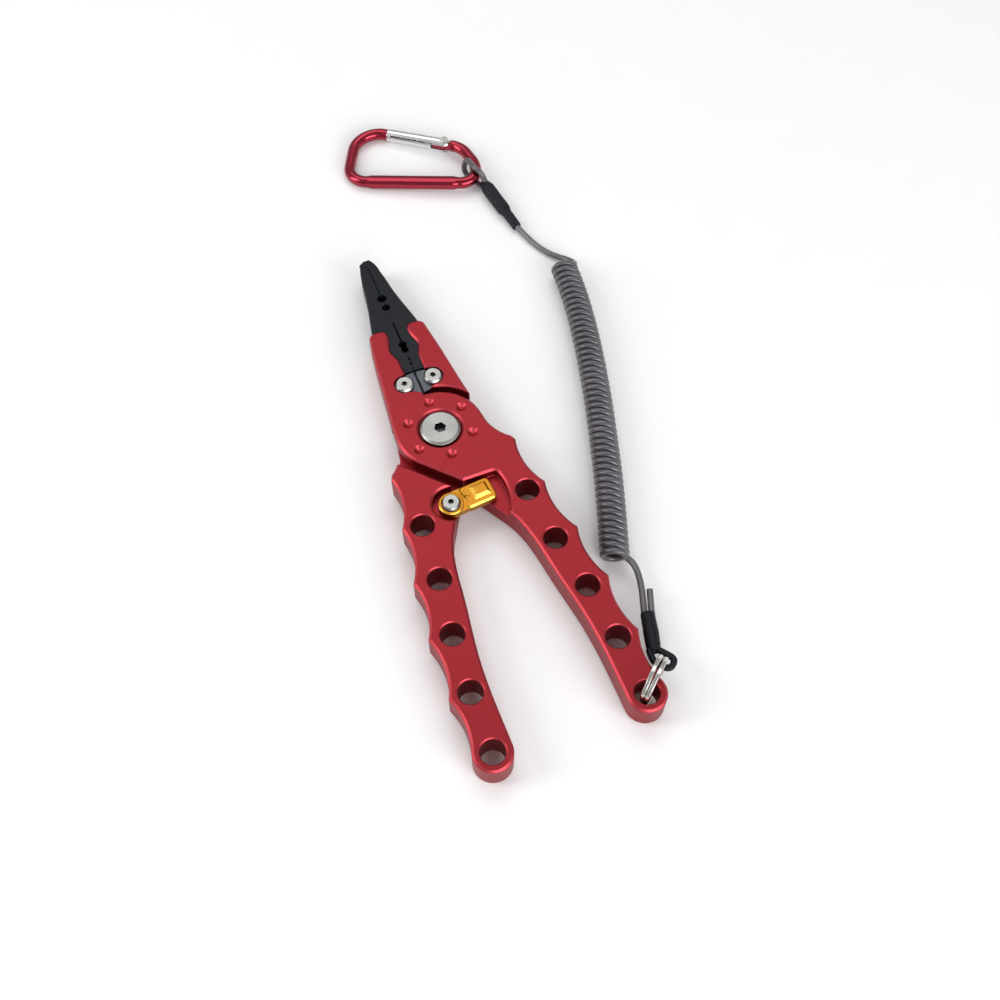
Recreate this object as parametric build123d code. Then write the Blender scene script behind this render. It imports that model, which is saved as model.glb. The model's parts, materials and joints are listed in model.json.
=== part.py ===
from build123d import *
import os
from math import cos, pi, radians, sin, tan

# Fishing pliers with a coiled lanyard and a small carabiner, lying flat.
# Millimetres, +Z up, jaws towards +Y. The origin is on the pivot axis, at the flat
# face of the pivot nut, which is the lowest face of the pliers.
# The two frames have one shape: the rear one is the front one turned over about Y.

# ---- driving dimensions ----
LIFT = 1.6                      # underside of the frames above the resting face
THICK = 12.0                    # thickness of a frame
BOTTOM = LIFT
TOP = LIFT + THICK
MID = (BOTTOM + TOP) / 2        # height at which the two frames lap
LAP_GAP = 0.2
EDGE = 0.8                      # chamfer of the frames' long edges
DISC_R = 16.8                   # disc round the pivot
RELIEF_R = 19.3                 # arc that ends the other arm beside the disc
STEP_DIST = 20.4                # pivot axis to the step across the other handle
STEP_N = (0.73, -0.6834)        # direction of that step's normal, front frame
HANDLE_HOLE_R = 4.25
HANDLE_HOLES = [(20.1, -36.4), (21.8, -58.4), (24.9, -79.45), (26.6, -100.9)]
END_HOLE = (27.25, -122.4)
END_R = 6.9
PEAKS = [(24.3, -14.5), (27.4, -35.3), (30.9, -57.0), (33.2, -78.5), (34.2, -100.7)]
GROOVE_DEPTH = 2.2              # finger grooves between the peaks
DIMPLE_RING_R = 12.2
DIMPLE_R = 2.1
DIMPLE_DEPTH = 1.5

HEAD_R = 7.55                   # pivot screw and nut heads
HEAD_SEAT_R = 7.9
SCREW_SEAT = TOP - 2.2          # floor of the counterbore under the screw head
NUT_SEAT = BOTTOM + 2.2         # floor of the counterbore over the nut head
BARREL_R = 3.5
BUSH_R = 5.0
SPRING_RING_R = 11.6
SPRING_WIRE_R = 0.6

LEVER_AT = (-7.5, -31.5)        # lock lever's pivot
LEVER_ANGLE = 5.0
POCKET_FLOOR = TOP - 4.0
FAN_R = 21.3                    # pocket in the front frame, round the lever's pivot
BOSS_POCKET_R = 6.8
CATCH_AT = (5.6, -29.85)
LEVER_BOSS_R = 4.6
LOCK_HEAD_R = 3.45
LOCK_SEAT = TOP - 1.4           # under the lock screw's head, in the lever

JAW_SCREW = (5.75, 23.6)        # right-hand screw; the left one is its mirror image
JAW_TOP = TOP - 0.6
JAW_BOTTOM = BOTTOM + 0.6
TONGUE_LOW, TONGUE_HIGH = BOTTOM + 3.0, BOTTOM + 6.0
CUTTER_TOP = TOP - 1.4
CUTTER_R = 3.95
JAW_HEAD_R = 3.6                # heads of the screws that hold the jaws
CUTTER_REACH = 17.3             # the left cutter ends this far from the pivot axis
CUTTER_CORNER = (-3.4, 19.3)    # its lower corner, towards its screw
RIGHT_CUTTER_LOW = [(0, 18.4), (3.5, 19.05)]    # lower edge of the right cutter
PARTING = 0.12                  # each jaw stands this far off the parting line
JAW_HOLES = [(67.4, 1.95), (62.3, 1.65), (42.1, 1.7), (39.5, 1.5), (34.8, 0.6), (32.3, 0.6)]
HOOK_LOW, HOOK_HIGH = 54.1, 60.6
HOOK = [(0.2, HOOK_HIGH), (-0.7, 60.45), (-0.35, 58.6), (-2.45, 57.2), (-1.5, 55.6), (-0.4, HOOK_LOW)]

RING_R = 9.5
RING_WIRE = 1.4
RING_WIDTH = 3.4
RING_OFFSET = 5.7               # end hole's centre to the ring's centre
RING_DIR = (0.757, 0.653)

CORD_R = 1.2                    # coated wire
COIL_R = 5.5                    # outside of the coiled cord
COIL_ROUTE = [(76.6, 61.5, 5.5), (75.4, 48.0, 5.5), (70.8, 25.0, 5.5), (64.2, 0.0, 5.5),
              (57.0, -23.0, 5.5), (49.2, -46.5, 5.5), (40.1, -70.1, 5.5)]
LOWER_LEAD = [(44.0, -71.2, 5.5), (45.5, -74.6, 5.5), (45.2, -79.4, 5.5), (43.8, -84.7, 5.7),
              (42.0, -89.6, 6.0), (40.2, -94.5, 6.35)]
LOWER_TAIL = [(46.1, -86.3, 6.2), (44.4, -90.6, 6.3), (42.65, -95.1, 6.4)]
UPPER_LEAD = [(80.9, 60.6, 5.5), (82.7, 62.6, 3.6), (81.0, 66.6, 2.4), (77.9, 70.2, 1.6),
              (74.0, 75.4, 1.25), (70.4, 83.6, 1.5), (68.1, 91.9, 2.45)]
LOWER_SLEEVE = [(41.4, -94.4, 6.35), (36.95, -108.7, 8.4)]
LOOP_Z = [8.5, 8.8, 9.3, 9.5, 9.5, 9.5, 9.3, 8.5]
LOOP_ROUND_RING = [(16.1, 5.9), (13.3, 3.9), (12.1, 1.0), (12.4, -2.9), (14.45, -3.6),
                   (16.7, -3.0), (17.0, 0.6), (17.5, 3.7)]
UPPER_SLEEVE = [(68.2, 91.3, 2.4), (63.7, 118.8, 4.1)]
UPPER_LOOP = [(64.1, 117.6, 5.2), (64.0, 120.2, 6.4), (62.8, 121.3, 8.9), (61.4, 123.3, 9.6),
              (61.0, 127.1, 9.1), (60.7, 131.1, 8.0), (59.2, 131.1, 5.6), (58.8, 130.2, 3.2),
              (59.4, 128.9, 1.3), (61.7, 123.4, 1.25), (63.2, 117.6, 2.8)]

ROD_R = 2.5                     # carabiner's rod
CARAB_AT = (35.72, 130.38)      # middle of the spine
CARAB_ANGLE = -25.47            # the spine's direction in plan
CARAB_TILT = 2.94               # the loop's lower strand lifts the right-hand end
CARAB_LEFT = 29.7               # middle of the spine to the end on the floor
CARAB_BEND = [(-29.4, 28.8), (-29.7, 0), (26.0, 0), (26.6, 10.3), (19.9, 20.0)]
CARAB_RADII = [6, 11, 8.5, 6, 13, 12, 6]
HINGE = (11.2, 23.2)            # gate's hinge pin, in the carabiner's plane
GATE_ANGLE = 167.6
GATE_LEN = 26.6
SPINE_WIDTH, SPINE_HEIGHT = 5.4, 4.7
SPINE_FROM, SPINE_TO = -18.8, 17.2
SPINE_BLEND = 2.3
SLIT_ANGLE = 35                 # the gate's slit is turned up from its inner side
GATE_R = 2.75
GATE_BORE_R = 1.9


def turned_over(shape):
    """The same shape on the other half of the pliers."""
    return Pos(0, 0, 2 * MID) * Rot(0, 180, 0) * shape


def slab(face, low, high):
    """A flat face in the XY plane as a solid from one height to another."""
    return Pos(0, 0, low) * extrude(face, amount=high - low)


def rod(x, y, r, low, high):
    return slab(Pos(x, y) * Circle(r), low, high)


def cone(x, y, r_low, r_high, low, high):
    section = Polyline((0, low), (r_low, low), (r_high, high), (0, high), close=True)
    return Pos(x, y) * revolve(Plane.XZ * make_face(section), Axis.Z)


def rimmed_hole(x, y, r, rim):
    """A through hole in a frame, with both of its rims chamfered."""
    hole = rod(x, y, r, BOTTOM - 1, TOP + 1)
    upper = cone(x, y, r, r + rim + 0.5, TOP - rim, TOP + 0.5)
    lower = cone(x, y, r + rim + 0.5, r, BOTTOM - 0.5, BOTTOM + rim)
    return hole + upper + lower


def polygon(*points):
    return make_face(Polyline(*points, close=True))


def arm_edges():
    """Outer edge, tip and scalloped inner edge of the left arm, down to the disc."""
    return [
        Spline((-DISC_R, 0), (-15.4, 14.5), (-13.2, 35), (-11.45, 48.3),
               tangents=[(0, 1), (0.13, 1)]),
        ThreePointArc((-11.45, 48.3), (-10.5, 50.5), (-8.5, 51.3)),
        Line((-8.5, 51.3), (-6.6, 51.3)),
        ThreePointArc((-6.6, 51.3), (-4.75, 50.5), (-4, 48.6)),
        Spline((-4, 48.6), (-4.35, 45.3), (-5.5, 40.6), (-4.15, 36.2), (-3.9, 33),
               tangents=[(0, -1), (0, -1)]),
    ]


def frame_face():
    """Plan of the front frame: left arm, disc and right handle."""
    step_angle = radians(223.1)
    step_at = (DISC_R * cos(step_angle), DISC_R * sin(step_angle))
    joint_angle = radians(9.94)
    joint_at = (DISC_R * cos(joint_angle), DISC_R * sin(joint_angle))
    parting_x = -0.3
    parting_y = (DISC_R ** 2 - parting_x ** 2) ** 0.5
    upper_angle = radians(55)
    upper_at = (DISC_R * cos(upper_angle), DISC_R * sin(upper_angle))
    left_angle = radians(200)
    left_at = (DISC_R * cos(left_angle), DISC_R * sin(left_angle))
    end_left = (END_HOLE[0] - END_R, END_HOLE[1])
    end_angle = radians(20)
    end_at = (END_HOLE[0] + END_R * cos(end_angle), END_HOLE[1] + END_R * sin(end_angle))
    edges = arm_edges()
    edges.append(Line((-3.9, 33), (-3.9, 20.4)))
    edges.append(Line((-3.9, 20.4), (parting_x, 18.2)))
    edges.append(Line((parting_x, 18.2), (parting_x, parting_y)))
    edges.append(ThreePointArc((parting_x, parting_y), upper_at, joint_at))
    edges.append(Spline(joint_at, (17.4, -3.2), (20.6, -9.7), (23.3, -12.4),
                        tangents=[(sin(joint_angle), -cos(joint_angle)), (0.8, -0.6)]))
    edges.append(Line((23.3, -12.4), PEAKS[0]))
    for a, b in zip(PEAKS, PEAKS[1:]):
        chord = Vector(b[0] - a[0], b[1] - a[1])
        inward = Vector(chord.Y, -chord.X).normalized() * GROOVE_DEPTH
        middle = Vector((a[0] + b[0]) / 2, (a[1] + b[1]) / 2) + inward
        edges.append(ThreePointArc(a, (middle.X, middle.Y), b))
    edges.append(Spline(PEAKS[-1], (32.6, -106.3), (32.2, -112), end_at,
                        tangents=[(-0.35, -1), (sin(end_angle), -cos(end_angle))]))
    edges.append(ThreePointArc(end_at, (END_HOLE[0], END_HOLE[1] - END_R), end_left))
    edges.append(Line(end_left, (end_left[0], -110)))
    edges.append(Spline((end_left[0], -110), (19.2, -88), (16.4, -69), (13.9, -52), (10.5, -42.5),
                        tangents=[(0, 1), (-0.55, 1)]))
    edges.append(Line((10.5, -42.5), (6.3, -35)))
    edges.append(Line((6.3, -35), (0.1, -24.6)))
    edges.append(Line((0.1, -24.6), step_at))
    edges.append(ThreePointArc(step_at, left_at, (-DISC_R, 0)))
    return make_face(edges)


def lap_relief():
    """What the front frame leaves free for the rear one: below the lap, in plan."""
    reach = 32.6
    x = -25.0
    y_line = (STEP_N[0] * x - STEP_DIST) / -STEP_N[1]
    return Circle(RELIEF_R) + polygon((reach, 5), (x, 5), (x, y_line))


def cutter_face():
    """Plan of the left cutter: round its screw, to the parting line and down to the disc."""
    x, y = -JAW_SCREW[0], JAW_SCREW[1]
    wedge = make_face([
        Line((-PARTING, CUTTER_REACH), (-PARTING, 28.8)),
        ThreePointArc((-PARTING, 28.8), (-2.9, 28.45), (x, y + CUTTER_R)),
        Line((x, y + CUTTER_R), (x, y - CUTTER_R)),
        Line((x, y - CUTTER_R), CUTTER_CORNER),
        Line(CUTTER_CORNER, (-PARTING, CUTTER_REACH)),
    ])
    return Pos(x, y) * Circle(CUTTER_R) + wedge


def tongue_face():
    return polygon((-9, 20), (-9, 32), (-8.2, 46.5), (-PARTING, 46.5), (-PARTING, 20))


def bevel_edges(solid, heights, size):
    """Chamfers every edge that lies at one of the given heights."""
    edges = []
    for edge in solid.edges():
        box = edge.bounding_box()
        if any(abs(box.min.Z - h) < 1e-3 and abs(box.max.Z - h) < 1e-3 for h in heights):
            edges.append(edge)
    return chamfer(edges, size)


def frame_blank():
    """Front frame before the pieces that differ between the two frames are cut."""
    blank = slab(frame_face(), BOTTOM, TOP)
    blank -= slab(lap_relief(), BOTTOM - 1, MID + LAP_GAP / 2)
    return blank


def arm_recess():
    """Slot for the left jaw's tongue, recess for its cutter, and the screw's thread."""
    recess = slab(tongue_face(), TONGUE_LOW, TONGUE_HIGH)
    recess += slab(offset(cutter_face(), 0.1), TONGUE_HIGH, TOP + 1)
    return recess + rod(-JAW_SCREW[0], JAW_SCREW[1], 1.75, BOTTOM - 1, TONGUE_LOW)


def finish_frame(frame):
    """Holes and recesses that turn over with the frame, as cut in the front one."""
    for x, y in HANDLE_HOLES + [END_HOLE]:
        frame -= rimmed_hole(x, y, HANDLE_HOLE_R, 0.5)
    for i in range(6):
        angle = radians(30 + 60 * i)
        x, y = DIMPLE_RING_R * cos(angle), DIMPLE_RING_R * sin(angle)
        frame -= cone(x, y, 0.4, DIMPLE_R, TOP - DIMPLE_DEPTH, TOP + 0.01)
    groove = Circle(SPRING_RING_R + 1.2) - Circle(SPRING_RING_R - 1.2)
    frame -= slab(groove, MID - 1, MID + 1.0)
    frame -= rod(0, 0, HEAD_SEAT_R, SCREW_SEAT, TOP + 1)
    frame -= cone(0, 0, HEAD_SEAT_R, HEAD_SEAT_R + 1.5, TOP - 1.0, TOP + 0.5)
    return frame


def front_frame():
    frame = frame_blank()
    fan = Pos(*LEVER_AT) * Circle(FAN_R) - Pos(0, 0) * Rectangle(90, 48.6)
    fan = fillet(fan.vertices().group_by(Axis.X)[-1], 1.8)
    frame -= slab(fan, POCKET_FLOOR, TOP + 1)
    frame = bevel_edges(frame, [TOP, BOTTOM], EDGE)
    frame = finish_frame(frame) - arm_recess()
    frame -= rod(0, 0, BARREL_R, MID, SCREW_SEAT)
    frame -= rod(*CATCH_AT, 1.0, POCKET_FLOOR - 2.5, POCKET_FLOOR)
    a = radians(60)
    frame -= rod(SPRING_RING_R * cos(a), SPRING_RING_R * sin(a), SPRING_WIRE_R + 0.1, MID, MID + 3.2)
    return frame


def rear_frame():
    frame = turned_over(frame_blank())
    pocket = Pos(*LEVER_AT) * Circle(BOSS_POCKET_R)
    pocket += Pos(LEVER_AT[0] + 8, LEVER_AT[1]) * Rectangle(16, 2 * BOSS_POCKET_R)
    frame -= slab(pocket, POCKET_FLOOR, TOP + 1)
    frame = bevel_edges(frame, [TOP, BOTTOM], EDGE)
    frame = turned_over(finish_frame(turned_over(frame))) - mirror(arm_recess(), Plane.YZ)
    frame -= rod(0, 0, BUSH_R, NUT_SEAT, MID)
    frame -= rod(0, 0, 9.5, MID - LAP_GAP / 2 - 0.3, MID)
    frame -= rod(*LEVER_AT, 1.5, POCKET_FLOOR - 6, POCKET_FLOOR)
    a = radians(340)
    frame -= rod(SPRING_RING_R * cos(a), SPRING_RING_R * sin(a), SPRING_WIRE_R + 0.1, MID - 3.2, MID)
    return frame


def jaw_profile():
    """Side view of a jaw: level between the arms, then thinner to the nose."""
    side = polygon((18, JAW_BOTTOM), (50, JAW_BOTTOM), (91, JAW_BOTTOM + 1.6),
                   (91, JAW_TOP - 1.6), (50, JAW_TOP), (18, JAW_TOP))
    return extrude(Plane.YZ * side, amount=15, both=True)


def jaw(nose, gap):
    """The left jaw of a given nose plan: the neck, the nose, the tongue, and its screw hole."""
    arm = make_face(arm_edges() + [Line((-3.9, 33), (-3.9, 0)), Line((-3.9, 0), (-DISC_R, 0))])
    plan = nose - arm
    body = slab(plan, 0, TOP) & jaw_profile()
    edges = [e for e in body.edges()
             if e.length > 6 and e.center().X < -3 and e.center().Y > 53 and abs(e.tangent_at(0.5).Z) < 0.5]
    body = chamfer(edges, 0.6)
    body += slab(tongue_face(), TONGUE_LOW, TONGUE_HIGH)
    body -= rod(-JAW_SCREW[0], JAW_SCREW[1], 1.85, 0, TOP)
    for y, r in JAW_HOLES:
        body -= rod(0, y, r, 0, TOP)
    body -= gap
    return body


def serrations():
    """Cross grooves on both gripping faces, from the hook to the nose."""
    pitch = 1.3
    first, last = 70.8, 84.0
    teeth = []
    for i in range(int((last - first) / pitch) + 1):
        y = first + i * pitch
        teeth.append(slab(polygon((0.45, y), (0, y + 0.5), (-0.45, y), (0, y - 0.5)), 0, TOP))
    return teeth


def jaw_outline():
    """Plan of a left nose, with the neck down to the cutter."""
    return make_face([
        Line((-PARTING, 29), (-PARTING, 43.2)),
        Line((-PARTING, 43.2), (-0.32, 43.9)),
        Line((-0.32, 43.9), (-0.32, 56)),
        Line((-0.32, 56), (-PARTING, 56.6)),
        Line((-PARTING, 56.6), (-PARTING, 85.6)),
        Line((-PARTING, 85.6), (-3.3, 85.6)),
        Spline((-3.3, 85.6), (-4.5, 80), (-5.8, 70), (-7.8, 60), (-9.6, 51.2)),
        Line((-9.6, 51.2), (-9.6, 49)),
        Line((-9.6, 49), (-6.2, 45)),
        Line((-6.2, 45), (-6.2, 35)),
        Line((-6.2, 35), (-4.2, 29)),
        Line((-4.2, 29), (-PARTING, 29)),
    ])


def left_jaw():
    gap = slab(offset(polygon(*HOOK, (3, HOOK_LOW), (3, HOOK_HIGH)), 0.12), 0, TOP)
    body = jaw(jaw_outline(), gap)
    for tooth in serrations():
        body -= tooth
    return body


def right_jaw():
    """Mirror of the left nose, with the hook and a tooth for split rings past the other nose."""
    body = mirror(jaw(jaw_outline(), rod(0, 100, 0.5, 0, 1)), Plane.YZ)
    profile = jaw_profile()
    body += slab(polygon(*HOOK, (1.2, HOOK_LOW), (1.2, HOOK_HIGH)), 0, TOP) & profile
    tooth = make_face([
        Line((PARTING, 82), (3.9, 82)),
        Spline((3.9, 82), (3.35, 85.6), (1.6, 89.2)),
        Line((1.6, 89.2), (-0.8, 89.0)),
        Line((-0.8, 89.0), (-2.9, 87.6)),
        Line((-2.9, 87.6), (-2.7, 86.1)),
        Line((-2.7, 86.1), (PARTING, 86.1)),
        Line((PARTING, 86.1), (PARTING, 82)),
    ])
    body += slab(tooth, 0, TOP) & profile
    for tooth in serrations():
        body -= tooth
    return body


def cutter():
    """The left cutter: a hard block with a chamfered cutting edge at the parting line."""
    block = slab(cutter_face(), TONGUE_HIGH, CUTTER_TOP)
    block -= rod(-JAW_SCREW[0], JAW_SCREW[1], 1.85, 0, TOP)
    above = CUTTER_TOP + 0.1
    bevel = polygon((-0.6, above), (-0.6, CUTTER_TOP), (0, CUTTER_TOP - 0.5), (0, above))
    block -= extrude(Plane.XZ.offset(-40) * bevel, amount=30)
    return block


def right_cutter():
    """The right cutter is cut off lower down, clear of the gap between its arm and the disc."""
    corner = polygon((0, 15), *RIGHT_CUTTER_LOW, (9, 20), (9, 15))
    return mirror(cutter(), Plane.YZ) - slab(corner, BOTTOM, TOP)


def star(x, y, r, low, high):
    """Six-lobed driver recess."""
    face = Pos(x, y) * Circle(r * 0.78)
    for i in range(6):
        a = radians(60 * i)
        face += Pos(x + r * 0.8 * cos(a), y + r * 0.8 * sin(a)) * Circle(r * 0.27)
    return slab(face, low, high)


def flat_head(x, y, r, low, high):
    """A low screw head: straight rim, wide chamfer, flat middle."""
    rim = low + 0.6 * (high - low)
    return rod(x, y, r, low, rim) + cone(x, y, r, 0.82 * r, rim, high)


def jaw_screw():
    x, y = -JAW_SCREW[0], JAW_SCREW[1]
    screw = rod(x, y, 1.75, BOTTOM + 0.3, CUTTER_TOP) + flat_head(x, y, JAW_HEAD_R, CUTTER_TOP, TOP + 0.5)
    return screw - star(x, y, 1.15, TOP - 0.7, TOP + 2)


def pivot_screw():
    head = cone(0, 0, HEAD_R, HEAD_R, SCREW_SEAT, TOP - 0.3)
    head += cone(0, 0, HEAD_R, HEAD_R - 0.9, TOP - 0.3, TOP + 0.4)
    shank = rod(0, 0, 2.0, NUT_SEAT + 0.6, SCREW_SEAT)
    socket = slab(RegularPolygon(2.0, 6, major_radius=False), TOP - 1.9, TOP + 1)
    return head + shank - socket


def pivot_nut():
    """Sleeve nut: a flat head to rest on and a barrel that the rear frame turns on."""
    head = cone(0, 0, HEAD_R - 0.5, HEAD_R, 0, 0.5) + rod(0, 0, HEAD_R, 0.5, NUT_SEAT - 0.3)
    nut = head + rod(0, 0, BARREL_R, NUT_SEAT - 0.3, SCREW_SEAT)
    nut -= rod(0, 0, 2.0, NUT_SEAT - 0.3, SCREW_SEAT)
    for x in (-4.6, 4.6):
        nut -= rod(x, 0, 0.9, 0, 1.3)
    return nut


def return_spring():
    """One open turn of wire between the laps, with one end in each frame."""
    start, end = 60, 340
    wire = Circle(SPRING_WIRE_R)
    ring = revolve(Plane.XZ * Pos(SPRING_RING_R, MID) * wire, Axis.Z, revolution_arc=end - start)
    spring = Rot(0, 0, start) * ring
    for angle, low, high in ((start, MID, MID + 2.8), (end, MID - 2.8, MID)):
        x, y = SPRING_RING_R * cos(radians(angle)), SPRING_RING_R * sin(radians(angle))
        spring += rod(x, y, SPRING_WIRE_R, low, high) + Pos(x, y, MID) * Sphere(SPRING_WIRE_R)
    return spring


def lock_lever():
    """Low boss, higher body with a raised thumb block, and a relief below for the catch pin."""
    low, high = POCKET_FLOOR + 0.3, TOP - 0.6
    step = high - 0.7
    web = polygon((0, LEVER_BOSS_R), (6, 4.68), (9, 4.68), (9, -4.3), (0, -LEVER_BOSS_R))
    body_face = Pos(10.55, 0) * RectangleRounded(12.4, 9.4, 2.1)
    body = slab(body_face, low, high)
    body = chamfer(body.faces().sort_by(Axis.Z)[-1].edges(), 0.65)
    body -= slab(Circle(6.1), step, high + 1)
    boss = rod(0, 0, LEVER_BOSS_R, low, high - 0.3)
    boss += cone(0, 0, LEVER_BOSS_R, LEVER_BOSS_R - 0.35, high - 0.3, high)
    thumb = Pos(0, 0, high - 0.1) * extrude(Pos(11.7, 0.25) * Rectangle(6.6, 5.8), amount=1.3, taper=40)
    lever = body + slab(web, low, step) + boss + thumb
    for along, across in ((5.75, 1.9), (6.9, 1.2)):
        ridge = slab(RectangleRounded(0.8, 2.9, 0.3), step - 0.2, high + 0.4)
        lever += Pos(along, across) * Rot(0, 0, 14) * ridge
    relief = polygon((10.9, -0.9), (18, -0.9), (18, 6), (10.9, 6))
    lever -= slab(relief, low - 1, low + 1.8)
    lever -= rod(0, 0, 1.55, low - 1, TOP) + rod(0, 0, LOCK_HEAD_R + 0.2, LOCK_SEAT, TOP + 1)
    return Pos(*LEVER_AT) * Rot(0, 0, LEVER_ANGLE) * lever


def lock_screw():
    x, y = LEVER_AT
    screw = rod(x, y, 1.5, POCKET_FLOOR - 5.5, LOCK_SEAT)
    screw += flat_head(x, y, LOCK_HEAD_R, LOCK_SEAT, TOP + 0.7)
    return screw - star(x, y, 1.1, TOP - 0.6, TOP + 2)


def ring_spot(along, across, z):
    """A point along and across the split ring's plane, counted from the end hole."""
    u, v = RING_DIR
    return (END_HOLE[0] + along * u - across * v, END_HOLE[1] + along * v + across * u, z)


def lower_loop_route():
    """Corners of the loop that goes round the ring's wire, on its outer side."""
    return [ring_spot(along, across, z) for (along, across), z in zip(LOOP_ROUND_RING, LOOP_Z)]


def split_ring():
    """Two turns of flat wire side by side, joined where they cross over."""
    half, r_in, r_out = RING_WIDTH / 2, RING_R - RING_WIRE, RING_R
    groove = 0.12
    cut, deep = 0.25, 0.35
    section = polygon((r_in, -half + cut), (r_in + cut, -half), (r_out - cut, -half),
                      (r_out, -half + cut), (r_out, -groove), (r_out - deep, 0), (r_out, groove),
                      (r_out, half - cut), (r_out - cut, half), (r_in + cut, half),
                      (r_in, half - cut), (r_in, groove), (r_in + deep, 0), (r_in, -groove))
    ring = revolve(Plane.XZ * section, Axis.Z)
    normal = (-RING_DIR[1], RING_DIR[0], 0)
    place = Plane(origin=ring_spot(RING_OFFSET, 0, RING_R), x_dir=(*RING_DIR, 0), z_dir=normal)
    return place.location * ring


def corner_radii(points, name):
    """Arc at each corner of a cord's route: 0.45 of the shorter run over tan(half the turn)."""
    runs = [Vector(*b) - Vector(*a) for a, b in zip(points, points[1:])]
    radii = []
    for a, b in zip(runs, runs[1:]):
        half_turn = radians(a.get_angle(b)) / 2
        radii.append(0.45 * min(a.length, b.length) / tan(half_turn))
    print(name, "radii", [round(r, 1) for r in radii])
    return radii


def tube(points, radius, name):
    """A round cord along straight runs joined by tangent arcs."""
    path = FilletPolyline(*points, radius=corner_radii(points, name))
    start = Plane(origin=path @ 0, z_dir=path % 0)
    solid = sweep(start * Circle(radius), path=path)
    section = pi * radius ** 2
    print(name, "volume", round(solid.volume, 1), "section x length", round(section * path.length, 1))
    return solid


def between(a, b):
    """A plane at a point that faces another one, and the distance between them."""
    run = Vector(*b) - Vector(*a)
    return Plane(origin=a, z_dir=run), run.length


def turned(plane, *profile):
    """A solid of revolution about a plane's normal, from its (height, radius) profile."""
    section = [(0, profile[0][0])] + [(r, h) for h, r in profile] + [(0, profile[-1][0])]
    return plane.location * revolve(Plane.XZ * polygon(*section), Axis.Z)


def sleeves():
    low_plane, low_len = between(*LOWER_SLEEVE)
    up_plane, up_len = between(*UPPER_SLEEVE)
    low_core = ((low_len - 12, 2.2), (low_len - 3, 2.2))
    up_core = ((up_len - 14, 2.6), (up_len - 4, 2.6))
    lower = turned(low_plane, (0, 2.4), (0.6, 2.5), (8, 2.65), (low_len - 3, 2.6), (low_len, 2.0))
    upper = turned(up_plane, (0, 1.9), (0.5, 2.05), (8.5, 2.05), (11, 2.9),
                   (up_len - 2, 2.9), (up_len, 2.5))
    lower_ferrule = turned(low_plane, *low_core)
    upper_ferrule = turned(up_plane, *up_core)
    return {"lower_sleeve": lower - lower_ferrule, "lower_ferrule": lower_ferrule,
            "upper_sleeve": upper - upper_ferrule, "upper_ferrule": upper_ferrule}


def carabiner_plane():
    a, t = radians(CARAB_ANGLE), radians(CARAB_TILT)
    along = Vector(cos(a) * cos(t), sin(a) * cos(t), sin(t))
    up = Vector(-cos(a) * sin(t), -sin(a) * sin(t), cos(t))
    height = ROD_R + 0.02 + CARAB_LEFT * sin(t)
    return Plane(origin=(*CARAB_AT, height), x_dir=along, z_dir=up)


def gate_plane():
    """In the carabiner's plane: from the hinge pin towards the nose, inward across."""
    a = radians(GATE_ANGLE)
    return Plane(origin=(*HINGE, 0), x_dir=(cos(a), sin(a), 0), z_dir=(0, 0, 1))


def carabiner_body():
    gate = gate_plane()
    nose = [gate.from_local_coords(Vector(x, 0, 0)) for x in (GATE_LEN + 0.25, GATE_LEN + 3.25)]
    heel = [gate.from_local_coords(Vector(x, 0, 0)) for x in (-5.2, -3.2)]
    bends = [(x, y, 0) for x, y in CARAB_BEND]
    path = FilletPolyline(*nose, *bends, *heel, radius=CARAB_RADII)
    body = sweep(Plane(origin=path @ 0, z_dir=path % 0) * Circle(ROD_R), path=path)
    flat = RectangleRounded(SPINE_WIDTH, SPINE_HEIGHT, 1.7)
    body += Pos(SPINE_FROM, 0, 0) * extrude(Plane.YZ * flat, amount=SPINE_TO - SPINE_FROM)
    for end, way in ((SPINE_FROM, -1), (SPINE_TO, 1)):
        round_end = Plane.YZ.offset(end + SPINE_BLEND * way) * Circle(ROD_R - 0.02)
        body += loft([Plane.YZ.offset(end) * flat, round_end])
    tongue = slab(Pos(0.8, 0) * Rectangle(8.4, 4.0), -1.05, 1.05)
    tab = slab(Pos(GATE_LEN - 1.2, -0.35) * Rectangle(3.4, 3.9), -0.8, 0.8)
    pin_hole = rod(0, 0, 0.9, -2, 2)
    return carabiner_plane().location * (body + gate.location * (tongue + tab) - gate.location * pin_hole)


def gate_tube():
    """Hollow gate: forked over the hinge, slit along the inside, open outwards at the nose."""
    along = Plane.YZ
    gate = extrude(along * Circle(GATE_R), amount=GATE_LEN) + Sphere(GATE_R)
    gate -= extrude(along.offset(4) * Circle(GATE_BORE_R), amount=GATE_LEN)
    gate -= slab(Pos(1, 0) * Rectangle(9.6, 8), -1.2, 1.2)
    gate -= Rot(SLIT_ANGLE, 0, 0) * slab(Pos(15, 2) * Rectangle(20, 4), -0.35, 0.35)
    gate -= slab(Pos(GATE_LEN - 1.6, -2) * Rectangle(3.6, 4), -1.0, 1.0)
    gate -= rod(0, 0, 0.97, -4, 4)
    gate -= slab(Circle(2.1), 2.6, 4) + slab(Circle(2.1), -4, -2.6)
    return carabiner_plane().location * gate_plane().location * gate


def gate_pin():
    pin = rod(0, 0, 0.9, -3.0, 3.0)
    for low in (-3.1, 2.65):
        pin += rod(0, 0, 1.7, low, low + 0.45)
    return carabiner_plane().location * gate_plane().location * pin


def gate_plunger():
    """Domed pin that the gate's spring presses on the body's tongue."""
    plunger = extrude(Plane.YZ.offset(6.6) * Circle(1.6), amount=2.2)
    plunger += Pos(6.6, 0, 0) * Sphere(1.15)
    plunger += extrude(Plane.YZ.offset(8.8) * Circle(0.8), amount=4)
    return carabiner_plane().location * gate_plane().location * plunger


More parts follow.
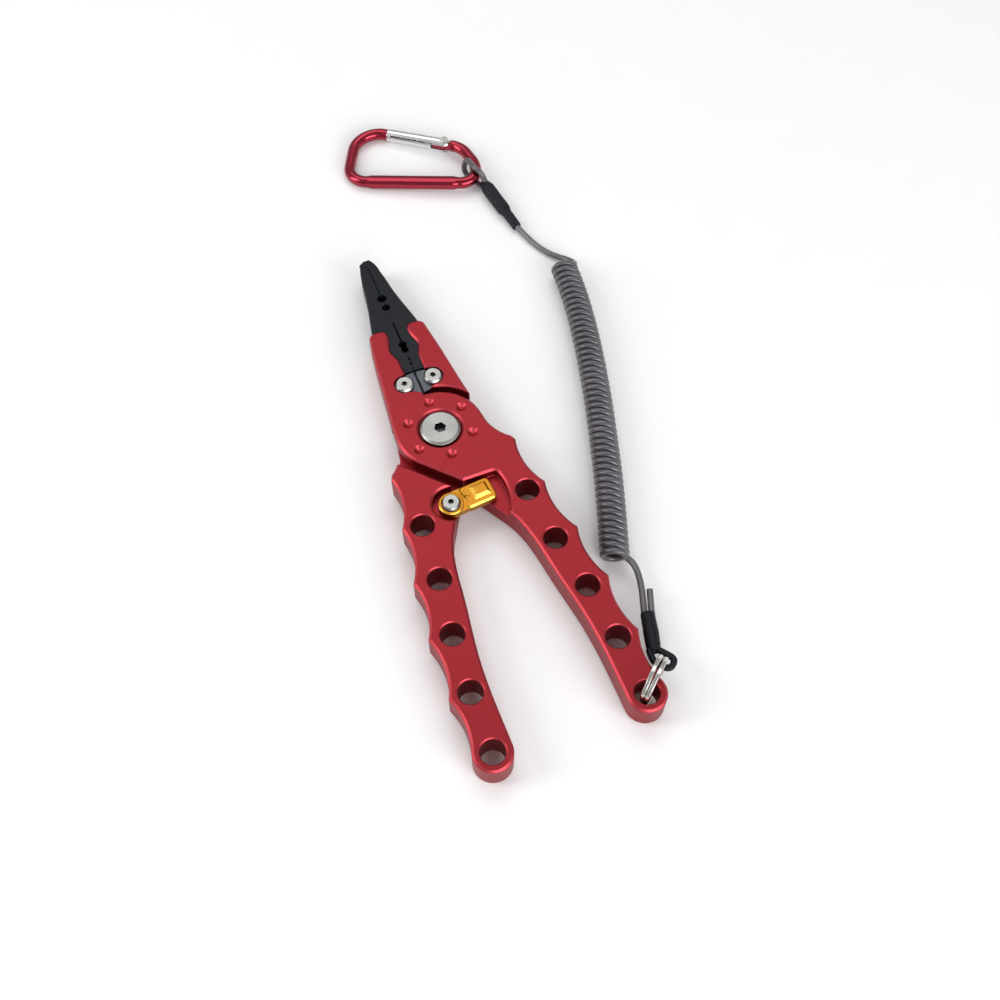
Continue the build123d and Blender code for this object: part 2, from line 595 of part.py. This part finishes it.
def gate_spring():
    """Round wire spring in the gate, behind the plunger."""
    path = Helix(pitch=1.5, height=12, radius=1.35)
    wire = sweep(Plane(origin=path @ 0, z_dir=path % 0) * Circle(0.25), path=path, is_frenet=True)
    return carabiner_plane().location * gate_plane().location * Pos(9.1, 0, 0) * Rot(0, 90, 0) * wire


def washers():
    nut_face = Circle(7.2) - Circle(BARREL_R + 0.2)
    lap_face = Circle(9.4) - Circle(BUSH_R + 0.1)
    bush_face = Circle(BUSH_R) - Circle(BARREL_R + 0.05)
    lock_face = Pos(*LEVER_AT) * (Circle(3.6) - Circle(1.5))
    lap_low = MID - LAP_GAP / 2 - 0.3
    return {"nut_washer": slab(nut_face, NUT_SEAT - 0.28, NUT_SEAT),
            "lap_washer": slab(lap_face, lap_low, MID + LAP_GAP / 2 - 0.02),
            "pivot_bush": slab(bush_face, NUT_SEAT, MID - LAP_GAP / 2),
            "lock_washer": slab(lock_face, POCKET_FLOOR, POCKET_FLOOR + 0.27)}


def main():
    parts = {
        "front_frame": front_frame(), "rear_frame": rear_frame(),
        "left_jaw": left_jaw(), "right_jaw": right_jaw(),
        "left_cutter": cutter(), "right_cutter": right_cutter(),
        "left_jaw_screw": jaw_screw(), "right_jaw_screw": mirror(jaw_screw(), Plane.YZ),
        "pivot_screw": pivot_screw(), "pivot_nut": pivot_nut(), "return_spring": return_spring(),
        "lock_lever": lock_lever(), "lock_screw": lock_screw(),
        "lock_catch_pin": rod(*CATCH_AT, 1.0, POCKET_FLOOR - 2.5, POCKET_FLOOR + 1.7),
        "split_ring": split_ring(), "lower_loop": tube(lower_loop_route(), CORD_R, "lower_loop"),
        "lower_tail": tube(LOWER_TAIL, CORD_R, "lower_tail"),
        "lower_lead": tube(LOWER_LEAD, CORD_R, "lower_lead"),
        "coil": tube(COIL_ROUTE, COIL_R, "coil"),
        "upper_lead": tube(UPPER_LEAD, CORD_R, "upper_lead"),
        "upper_loop": tube(UPPER_LOOP, CORD_R, "upper_loop"),
        "carabiner_body": carabiner_body(), "gate_tube": gate_tube(), "gate_pin": gate_pin(),
        "gate_plunger": gate_plunger(), "gate_spring": gate_spring(),
    }
    parts.update(washers())
    parts.update(sleeves())
    os.makedirs("parts", exist_ok=True)
    for name, solid in parts.items():
        export_step(solid, f"parts/{name}.step")


main()
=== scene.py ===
import json
import math

import bpy
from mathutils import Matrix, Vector


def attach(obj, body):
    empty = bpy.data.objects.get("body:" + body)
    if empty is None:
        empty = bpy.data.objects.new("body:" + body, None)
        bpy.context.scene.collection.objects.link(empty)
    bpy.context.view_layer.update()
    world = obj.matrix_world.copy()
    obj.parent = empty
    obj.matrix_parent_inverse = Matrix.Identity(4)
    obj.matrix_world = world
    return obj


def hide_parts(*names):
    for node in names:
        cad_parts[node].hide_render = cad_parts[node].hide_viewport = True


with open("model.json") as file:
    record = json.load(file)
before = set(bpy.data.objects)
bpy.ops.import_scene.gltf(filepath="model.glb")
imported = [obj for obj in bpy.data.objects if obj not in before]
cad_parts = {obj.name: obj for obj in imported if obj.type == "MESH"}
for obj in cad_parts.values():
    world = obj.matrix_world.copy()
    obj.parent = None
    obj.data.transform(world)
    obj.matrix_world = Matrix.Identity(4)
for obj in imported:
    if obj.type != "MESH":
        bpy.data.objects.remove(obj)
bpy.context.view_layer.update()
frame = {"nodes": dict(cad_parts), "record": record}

# ---- the cord's routes, the same points as in the CAD model, in metres ----
COIL_ROUTE = [(0.0766, 0.0615, 0.0055), (0.0754, 0.0480, 0.0055), (0.0708, 0.0250, 0.0055),
              (0.0642, 0.0, 0.0055), (0.0570, -0.0230, 0.0055), (0.0492, -0.0465, 0.0055),
              (0.0401, -0.0701, 0.0055)]
LOWER_LEAD = [(0.0440, -0.0712, 0.0055), (0.0455, -0.0746, 0.0055), (0.0452, -0.0794, 0.0055),
              (0.0438, -0.0847, 0.0057), (0.0420, -0.0896, 0.0060), (0.0402, -0.0945, 0.00635)]
LOWER_TAIL = [(0.0461, -0.0863, 0.0062), (0.0444, -0.0906, 0.0063), (0.04265, -0.0951, 0.0064)]
UPPER_LEAD = [(0.0809, 0.0606, 0.0055), (0.0827, 0.0626, 0.0036), (0.0810, 0.0666, 0.0024),
              (0.0779, 0.0702, 0.0016), (0.0740, 0.0754, 0.00125), (0.0704, 0.0836, 0.0015),
              (0.0681, 0.0919, 0.00245)]
LOWER_SLEEVE = [(0.0414, -0.0944, 0.00635), (0.03695, -0.1087, 0.0084)]
UPPER_SLEEVE = [(0.0682, 0.0913, 0.0024), (0.0637, 0.1188, 0.0041)]
UPPER_LOOP = [(0.0641, 0.1176, 0.0052), (0.0640, 0.1202, 0.0064), (0.0628, 0.1213, 0.0089),
              (0.0614, 0.1233, 0.0096), (0.0610, 0.1271, 0.0091), (0.0607, 0.1311, 0.0080),
              (0.0592, 0.1311, 0.0056), (0.0588, 0.1302, 0.0032), (0.0594, 0.1289, 0.0013),
              (0.0617, 0.1234, 0.00125), (0.0632, 0.1176, 0.0028)]
# radius of each sleeve along it, as (share of its length, radius)
LOWER_PROFILE = [(0, 0.00225), (0.05, 0.0024), (0.6, 0.00262), (0.82, 0.00255), (1, 0.0020)]
UPPER_PROFILE = [(0, 0.0018), (0.02, 0.00202), (0.29, 0.00208), (0.41, 0.00288), (0.86, 0.00292),
                 (1, 0.00205)]
END_HOLE = (0.02725, -0.1224)
RING_DIR = (0.757, 0.653)
RING_OFFSET = 0.0057            # end hole's centre to the ring's centre
RING_R = 0.0095
RING_WIRE = 0.0014
RING_TURN_WIDTH = 0.00152
RING_CHAMFER = 0.00028
RING_GAP = 0.00008              # between the two turns where they lie side by side
RING_START = -150               # degrees round the ring, from its side away from the hole
RING_WOUND = 672
RING_CROSSOVER = (318, 352)     # degrees of winding where one turn passes to the other's side
RING_PARTING = 0.16             # more distance at the top, as a share of a turn's width
RING_TOP_SHIFT = 0.35           # radians by which the widest place lies off the top
RING_STEPS = 224
# corners of the loop round the ring's wire: along the ring's plane, across it, and height
LOOP_ROUND_RING = [(0.0161, 0.0059, 0.0085), (0.0133, 0.0039, 0.0088), (0.0121, 0.0010, 0.0093),
                   (0.0124, -0.0029, 0.0095), (0.01445, -0.0036, 0.0095), (0.0167, -0.0030, 0.0095),
                   (0.0170, 0.0006, 0.0093), (0.0175, 0.0037, 0.0085)]
CORD_D = 0.0024
COIL_D = 0.011
TURNS = 49
TURN_POINTS = 14
TURN_LEAN = -0.2                # slope of a turn along the coil, over the distance to its side
PITCH_SPREAD = 0.055            # share by which the pitch starts under its mean and ends over it

# ---- camera and light ----
CAMERA_AT = (-0.0686, -0.2324, 0.3783)
VIEW_DIRECTION = (0.1848, 0.4640, -0.8664)
LENS_MM = 42.24
SENSOR_MM = 36
WORLD_LIGHT = 0.44
# name, place, size, radiance
SOFTBOXES = [("window", (0.25, -1.25, 0.62), (1.5, 0.7), 5.0),
             ("left_box", (-1.0, 0.25, 0.62), (0.5, 0.9), 4.2),
             ("top_box", (0.15, 0.62, 1.15), (1.1, 0.8), 1.7)]


def link(obj):
    bpy.context.scene.collection.objects.link(obj)
    return obj


def aim(obj, direction):
    obj.rotation_mode = "QUATERNION"
    obj.rotation_quaternion = Vector(direction).to_track_quat("-Z", "Y")


def make_camera():
    data = bpy.data.cameras.new("camera")
    data.lens, data.sensor_width = LENS_MM, SENSOR_MM
    camera = link(bpy.data.objects.new("camera", data))
    camera.location = CAMERA_AT
    aim(camera, VIEW_DIRECTION)
    bpy.context.scene.camera = camera


def make_lights():
    for name, place, size, radiance in SOFTBOXES:
        data = bpy.data.lights.new(name, "AREA")
        data.shape = "RECTANGLE"
        data.size, data.size_y = size
        data.energy = radiance * math.pi * size[0] * size[1]
        box = link(bpy.data.objects.new(name, data))
        box.location = place
        aim(box, -Vector(place))
    world = bpy.data.worlds.new("studio")
    world.use_nodes = True
    background = world.node_tree.nodes["Background"]
    background.inputs["Color"].default_value = (1, 1, 1, 1)
    background.inputs["Strength"].default_value = WORLD_LIGHT
    bpy.context.scene.world = world
    bpy.context.scene.view_settings.view_transform = "Standard"


# ---- materials ----
# painted shade: the colour given to the drivers' recesses in the screw heads
RECESS_SHADE_COLOUR = (0.07, 0.07, 0.075)
GATE_LAY = math.pi / 2 - 0.73   # turn of the gate's brushing about Z
NOISE_RANGE = (0.3, 0.7)        # where most of a noise texture's values lie
EDGE_RANGE = (0.90, 0.995)      # cosine of softened to plain normal: full edge lightening, as wear and painted highlight, and none
OFF_WALL = (0.2, 0.4)           # the normal's Z, up or down, where the painted highlight on slopes comes in
OFF_FLAT = (0.9, 0.98)          # and where it goes out again


def add(tree, kind, **settings):
    """A shader node: settings are its attributes, or its inputs by name with _ for a space."""
    made = tree.nodes.new("ShaderNode" + kind)
    for key, value in settings.items():
        if hasattr(made, key):
            setattr(made, key, value)
            continue
        socket = made.inputs[key.replace("_", " ")]
        if isinstance(value, bpy.types.NodeSocket):
            tree.links.new(value, socket)
        else:
            socket.default_value = value
    return made


def spread(tree, value, low, high, to_low, to_high):
    """A value mapped from one range to another, and kept inside the second."""
    made = add(tree, "MapRange", Value=value, From_Min=low, From_Max=high, To_Min=to_low, To_Max=to_high)
    return made.outputs["Result"]


def blend(tree, share, a, b):
    """Two colours mixed by a share; each is an RGB tuple or a socket."""
    made = tree.nodes.new("ShaderNodeMix")
    made.data_type = "RGBA"
    tree.links.new(share, made.inputs[0])
    for socket, colour in ((made.inputs[6], a), (made.inputs[7], b)):
        if isinstance(colour, bpy.types.NodeSocket):
            tree.links.new(colour, socket)
        else:
            socket.default_value = (*colour, 1)
    return made.outputs[2]


def noise(tree, scale, detail=2.0, stretch=(1, 1, 1), turn=(0, 0, 0)):
    place = add(tree, "TexCoord").outputs["Object"]
    if stretch != (1, 1, 1):
        place = add(tree, "Mapping", Vector=place, Rotation=turn, Scale=stretch).outputs["Vector"]
    return add(tree, "TexNoise", Vector=place, Scale=scale, Detail=detail).outputs["Fac"]


def maths(tree, operation, a, b=0.0):
    made = tree.nodes.new("ShaderNodeMath")
    made.operation = operation
    for socket, value in zip(made.inputs, (a, b)):
        if isinstance(value, bpy.types.NodeSocket):
            tree.links.new(value, socket)
        else:
            socket.default_value = value
    return made.outputs[0]


def surface(name, colour, metallic, roughness, edge_wear_highlight_colour=None, edge_radius=0.0005, patchy=0.12,
            grain=2600.0, grain_depth=0.00001, rough_spread=0.08, brushed=None, coat=0.0,
            coat_roughness=0.1, turned=0.0, specular=0.5, shaded_bores=None, slope_highlight_colour=None):
    """A finished surface: uneven colour, fine grain or brushing, softened edges lightened partly as wear and
    partly as a painted highlight.

    brushed is (scale across, turn about Z); turned is the anisotropy of lathe marks round Z; shaded_bores is
    (radius, height) of a driver recess as shares of the piece's width and height, painted dark as the shade
    inside it.
    slope_highlight_colour is a painted highlight on chamfers and cones, which would catch the lamps' light.
    """
    mat = bpy.data.materials.new(name)
    mat.use_nodes = True
    tree = mat.node_tree
    shader = tree.nodes["Principled BSDF"]
    shader.inputs["Metallic"].default_value = metallic
    shader.inputs["Coat Weight"].default_value = coat
    shader.inputs["Coat Roughness"].default_value = coat_roughness
    shader.inputs["Specular IOR Level"].default_value = specular
    cloud = noise(tree, 70.0, 4.0)
    darker = tuple(c * (1 - patchy) for c in colour)
    tint = blend(tree, spread(tree, cloud, 0.35, 0.65, 0, 1), darker, colour)
    speck = noise(tree, grain, 3.0)
    if brushed:
        across, angle = brushed
        speck = noise(tree, across, 4.0, (1, 0.04, 1), (0, 0, angle))
    speck_colour = tuple(c * (1 - 1.6 * patchy) for c in colour)
    tint = blend(tree, spread(tree, speck, *NOISE_RANGE, 0, 0.5), tint, speck_colour)
    soft = add(tree, "Bevel", samples=6, Radius=edge_radius).outputs["Normal"]
    # edges lightened partly as wear and partly as a painted highlight where rounded edges would catch the
    # lamps
    if edge_wear_highlight_colour:
        flat = add(tree, "NewGeometry").outputs["Normal"]
        turn = add(tree, "VectorMath", operation="DOT_PRODUCT")
        tree.links.new(soft, turn.inputs[0])
        tree.links.new(flat, turn.inputs[1])
        edge_wear_and_highlight = spread(tree, turn.outputs["Value"], *EDGE_RANGE, 0.75, 0)
        edge_wear_and_highlight = maths(tree, "MULTIPLY", edge_wear_and_highlight, spread(tree, noise(tree, 420.0, 3.0), 0.3, 0.6, 0.55, 1))
        tint = blend(tree, edge_wear_and_highlight, tint, edge_wear_highlight_colour)
    # painted highlight: faces between wall and flat, such as chamfers and cones, are coloured lighter
    if slope_highlight_colour:
        level = add(tree, "SeparateXYZ", Vector=add(tree, "NewGeometry").outputs["Normal"]).outputs[2]
        level = maths(tree, "ABSOLUTE", level)
        off_wall = spread(tree, level, *OFF_WALL, 0, 1)
        off_flat = spread(tree, level, *OFF_FLAT, 1, 0)
        painted_slope_highlight = maths(tree, "MULTIPLY", off_wall, off_flat)
        tint = blend(tree, painted_slope_highlight, tint, slope_highlight_colour)
    if turned:
        shader.inputs["Anisotropic"].default_value = turned
        tangent = add(tree, "Tangent", direction_type="RADIAL", axis="Z").outputs["Tangent"]
        tree.links.new(tangent, shader.inputs["Tangent"])
    # painted shade: the driver recess in the middle of the head is coloured dark
    if shaded_bores:
        size = add(tree, "SeparateXYZ", Vector=add(tree, "TexCoord").outputs["Generated"]).outputs
        x = maths(tree, "SUBTRACT", size[0], 0.5)
        y = maths(tree, "SUBTRACT", size[1], 0.5)
        squares = maths(tree, "ADD", maths(tree, "MULTIPLY", x, x), maths(tree, "MULTIPLY", y, y))
        away = maths(tree, "SQRT", squares)
        hole = maths(tree, "MULTIPLY", maths(tree, "LESS_THAN", away, shaded_bores[0]),
                     maths(tree, "LESS_THAN", size[2], shaded_bores[1]))
        tint = blend(tree, hole, tint, RECESS_SHADE_COLOUR)
    tree.links.new(tint, shader.inputs["Base Color"])
    mottle = maths(tree, "ADD", maths(tree, "MULTIPLY", cloud, 0.5), maths(tree, "MULTIPLY", speck, 0.5))
    rough = spread(tree, mottle, *NOISE_RANGE, roughness - rough_spread / 2, roughness + rough_spread)
    tree.links.new(rough, shader.inputs["Roughness"])
    relief = add(tree, "Bump", Height=speck, Normal=soft, Strength=0.6, Distance=grain_depth)
    tree.links.new(relief.outputs["Normal"], shader.inputs["Normal"])
    return mat


def make_materials():
    # the colour after each roughness lightens the edges, partly as wear and partly as a painted highlight
    return {
        "frame_red": surface("frame_red", (0.32, 0.028, 0.035), 1.0, 0.42, (0.60, 0.10, 0.125), 0.0005,
                             patchy=0.10, grain=2400.0, grain_depth=0.000012,
                             slope_highlight_colour=(0.50, 0.058, 0.074)),
        "jaw_steel": surface("jaw_steel", (0.0045, 0.0070, 0.0110), 0.0, 0.40, (0.035, 0.042, 0.052), 0.0003,
                             patchy=0.3, grain=3200.0, grain_depth=0.000008, specular=0.22),
        "cutter_carbide": surface("cutter_carbide", (0.115, 0.12, 0.14), 1.0, 0.40, (0.32, 0.33, 0.37),
                                  0.0002, patchy=0.2, brushed=(2600.0, 0.25), grain_depth=0.000008),
        "screw_steel": surface("screw_steel", (0.62, 0.61, 0.585), 1.0, 0.26, (0.92, 0.91, 0.88), 0.0003,
                               patchy=0.1, grain=3000.0, grain_depth=0.000005, turned=0.75),
        "pivot_steel": surface("pivot_steel", (0.33, 0.335, 0.322), 1.0, 0.30, (0.80, 0.78, 0.74), 0.0003,
                               patchy=0.1, grain=3000.0, grain_depth=0.000005, turned=0.8,
                               shaded_bores=(0.158, 0.985)),
        "head_steel": surface("head_steel", (0.34, 0.34, 0.325), 1.0, 0.26, (0.82, 0.81, 0.77), 0.00025,
                              patchy=0.1, grain=3000.0, grain_depth=0.000005, turned=0.6,
                              shaded_bores=(0.20, 0.975)),
        "bush_bronze": surface("bush_bronze", (0.55, 0.36, 0.16), 1.0, 0.35, patchy=0.2),
        "washer_plastic": surface("washer_plastic", (0.8, 0.8, 0.76), 0.0, 0.5, patchy=0.05, grain=900.0),
        "spring_steel": surface("spring_steel", (0.42, 0.42, 0.43), 1.0, 0.3, patchy=0.2, grain=1800.0),
        "lever_gold": surface("lever_gold", (0.47, 0.205, 0.022), 1.0, 0.30, (0.85, 0.60, 0.12), 0.00012,
                              patchy=0.12, grain=2400.0, grain_depth=0.000008,
                              slope_highlight_colour=(0.82, 0.50, 0.075)),
        "ring_chrome": surface("ring_chrome", (0.72, 0.70, 0.66), 1.0, 0.14, (0.95, 0.93, 0.88), 0.0002,
                               patchy=0.12, brushed=(1500.0, 0.7), grain_depth=0.000006, rough_spread=0.1),
        "cord_coated": surface("cord_coated", (0.105, 0.097, 0.112), 0.0, 0.34, patchy=0.35, grain=1300.0,
                               grain_depth=0.00004, coat=0.7, coat_roughness=0.18),
        "heat_shrink": surface("heat_shrink", (0.0045, 0.0062, 0.0120), 0.0, 0.52, patchy=0.3, grain=900.0,
                               grain_depth=0.00006, specular=0.28),
        "carabiner_red": surface("carabiner_red", (0.37, 0.010, 0.033), 1.0, 0.2, (0.66, 0.05, 0.09), 0.0004,
                                 patchy=0.14, grain=1500.0, grain_depth=0.000006, coat=0.6,
                                 coat_roughness=0.08),
        "gate_silver": surface("gate_silver", (0.80, 0.80, 0.81), 1.0, 0.22, (0.95, 0.95, 0.96), 0.0003,
                               patchy=0.1, brushed=(2400.0, GATE_LAY), grain_depth=0.000006,
                               rough_spread=0.12),
    }


def dress(obj, mat):
    obj.data.materials.clear()
    obj.data.materials.append(mat)


def dress_frame():
    special = {"pivot_screw": "pivot_steel", "left_jaw_screw": "head_steel", "right_jaw_screw": "head_steel",
               "lock_screw": "head_steel"}
    for row in frame["record"]["subparts"]:
        name = row["node"]
        dress(frame["nodes"][name], MATS[special.get(name, row["material_slot"])])


# ---- cord ----

def cord_curve(name, points, diameter=CORD_D):
    """A round cord as one NURBS spline with these points as its control points."""
    data = bpy.data.curves.new(name, "CURVE")
    data.dimensions = "3D"
    spline = data.splines.new("NURBS")
    spline.points.add(len(points) - 1)
    for spot, point in zip(spline.points, points):
        spot.co = (*point, 1)
        spot.radius = diameter / 2 or 0.001
    spline.order_u = 3
    spline.use_endpoint_u = True
    spline.resolution_u = 5
    data.bevel_depth = 1 if diameter else 0
    data.bevel_resolution = 5
    data.use_fill_caps = bool(diameter)
    return link(bpy.data.objects.new(name, data))


def route_line(points):
    """The points of a route's NURBS spline, as Blender draws it without a bevel."""
    guide = cord_curve("guide", points, 0)
    guide.data.splines[0].resolution_u = 24
    mesh = bpy.data.meshes.new_from_object(guide)
    line = [v.co.copy() for v in mesh.vertices]
    bpy.data.objects.remove(guide)
    bpy.data.meshes.remove(mesh)
    return line


def along(line, share):
    """The point and the direction at a share of a line's length."""
    runs = [(b - a).length for a, b in zip(line, line[1:])]
    left = share * sum(runs)
    for a, b, run in zip(line, line[1:], runs):
        if left <= run:
            return a.lerp(b, left / run), (b - a).normalized()
        left -= run
    return line[-1], (line[-1] - line[-2]).normalized()


def helix(route, radius, turns, turn_points):
    """Points of a helix round a route, from its right-hand side at the start to the same at the end."""
    line = route_line(route)
    # the spline touches the sides of its control points' polygon, not the corners
    control = radius / math.cos(math.pi / turn_points)
    points = []
    for i in range(turns * turn_points + 1):
        done = i / (turns * turn_points)
        at, way = along(line, done + PITCH_SPREAD * (done * done - done))
        side = way.cross(Vector((0, 0, 1))).normalized()
        lift = side.cross(way)
        angle = 2 * math.pi * i / turn_points
        lean = TURN_LEAN * min(1, done * turns / 1.5, (1 - done) * turns / 1.5)
        across = control * math.cos(angle)
        points.append(tuple(at + side * across + lift * (control * math.sin(angle)) + way * (lean * across)))
    return points


def line_length(line):
    return sum((b - a).length for a, b in zip(line, line[1:]))


# ---- meshes ----

def skin(name, rings):
    """A closed mesh through rings of points, with a flat cap at each end."""
    count = len(rings[0])
    points = [tuple(p) for ring in rings for p in ring]
    faces = [tuple(range(count))[::-1], tuple(range(len(points) - count, len(points)))]
    for k in range(len(rings) - 1):
        for i in range(count):
            j = (i + 1) % count
            faces.append((k * count + i, k * count + j, (k + 1) * count + j, (k + 1) * count + i))
    mesh = bpy.data.meshes.new(name)
    mesh.from_pydata(points, [], faces)
    mesh.shade_smooth()
    mesh.set_sharp_from_angle(angle=math.radians(40))
    return link(bpy.data.objects.new(name, mesh))


def ring_spot(out, across, z):
    """A point along and across the split ring's plane, counted from the end hole."""
    u, v = RING_DIR
    return Vector((END_HOLE[0] + out * u - across * v, END_HOLE[1] + out * v + across * u, z))


def smooth_step(value):
    value = max(0.0, min(1.0, value))
    return value * value * (3 - 2 * value)


def split_ring():
    """Nearly two turns of flat wire: they cross over on the end hole's side and part most at the top."""
    half, thick = RING_TURN_WIDTH / 2, RING_WIRE / 2
    cut = RING_CHAMFER
    section = [(thick, half - cut), (thick - cut, half), (cut - thick, half), (-thick, half - cut),
               (-thick, cut - half), (cut - thick, -half), (thick - cut, -half), (thick, cut - half)]
    start, total = math.radians(RING_START), math.radians(RING_WOUND)
    jog_from, jog_to = (math.radians(a) for a in RING_CROSSOVER)
    rings = []
    for i in range(RING_STEPS + 1):
        turn = total * i / RING_STEPS
        angle = start + turn
        share = smooth_step((turn - jog_from) / (jog_to - jog_from))
        top = max(0.0, math.sin(angle + RING_TOP_SHIFT))
        apart = (0.5 + RING_PARTING * top ** 2) * (RING_TURN_WIDTH + RING_GAP)
        offset = (2 * share - 1) * apart
        ring = []
        for out, side in section:
            r = RING_R - thick + out * 0.98
            height = RING_R + r * math.sin(angle)
            ring.append(ring_spot(RING_OFFSET + r * math.cos(angle), offset + side, height))
        rings.append(ring)
    return skin("split_ring_wire", rings)


def heat_shrink(name, ends, profile, oval, seed):
    """A shrunk, uneven sleeve. profile is (share of length, radius); oval widens its start by a share."""
    a, b = (Vector(p) for p in ends)
    way = (b - a).normalized()
    side = way.cross(Vector((0, 0, 1))).normalized()
    up = side.cross(way)
    steps, spokes = 64, 40
    rings = []
    for k in range(steps + 1):
        share = k / steps
        for (s0, r0), (s1, r1) in zip(profile, profile[1:]):
            if share <= s1:
                radius = r0 + (r1 - r0) * smooth_step((share - s0) / (s1 - s0))
                break
        ring = []
        for i in range(spokes):
            angle = 2 * math.pi * i / spokes
            ripple = math.sin(3 * angle + 9 * share + seed)
            ripple += 0.7 * math.sin(23 * share + 2 * angle + 2 * seed)
            ripple += 0.5 * math.sin(51 * share - 5 * angle + seed)
            r = radius * (1 + 0.011 * ripple)
            wide = 1 + oval * (1 - share)
            across, lift = r * wide * math.cos(angle), r / wide * math.sin(angle)
            ring.append(a.lerp(b, share) + side * across + up * lift)
        rings.append(ring)
    return skin(name, rings)


def put(obj, slot_name, *nodes):
    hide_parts(*nodes)
    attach(obj, "front_half")
    dress(obj, MATS[slot_name])
    return obj


make_camera()
make_lights()
MATS = make_materials()
dress_frame()

coil_points = helix(list(reversed(COIL_ROUTE)), (COIL_D - CORD_D) / 2, TURNS, TURN_POINTS)
cord_points = list(reversed(LOWER_LEAD)) + coil_points + UPPER_LEAD
cord = put(cord_curve("curly_cord", cord_points), "cord_coated", "lower_lead", "coil", "upper_lead")
loop_points = [tuple(ring_spot(*spot)) for spot in LOOP_ROUND_RING]
put(cord_curve("lower_loop_wire", loop_points), "heat_shrink", "lower_loop")
put(cord_curve("lower_tail_wire", LOWER_TAIL), "cord_coated", "lower_tail")
upper_loop = put(cord_curve("upper_loop_wire", UPPER_LOOP), "cord_coated", "upper_loop")
put(split_ring(), "ring_chrome", "split_ring")
lower_sleeve = put(heat_shrink("lower_sleeve_skin", LOWER_SLEEVE, LOWER_PROFILE, 0.08, 1.3),
                   "heat_shrink", "lower_sleeve")
upper_sleeve = put(heat_shrink("upper_sleeve_skin", UPPER_SLEEVE, UPPER_PROFILE, 0.0, 4.1),
                   "heat_shrink", "upper_sleeve")
for label, points in (("cord", cord_points), ("lower loop", loop_points), ("upper loop", UPPER_LOOP)):
    print(label, "length", round(line_length(route_line(points)), 4))

floor_mesh = bpy.data.meshes.new("floor")
floor_mesh.from_pydata([(-3, -3, 0), (3, -3, 0), (3, 3, 0), (-3, 3, 0)], [], [(0, 1, 2, 3)])
floor = link(bpy.data.objects.new("floor", floor_mesh))
floor_mesh.materials.append(surface("floor", (0.93, 0.93, 0.935), 0.0, 0.6, patchy=0.01, grain=500.0,
                                    specular=0.2, edge_radius=0.0001))
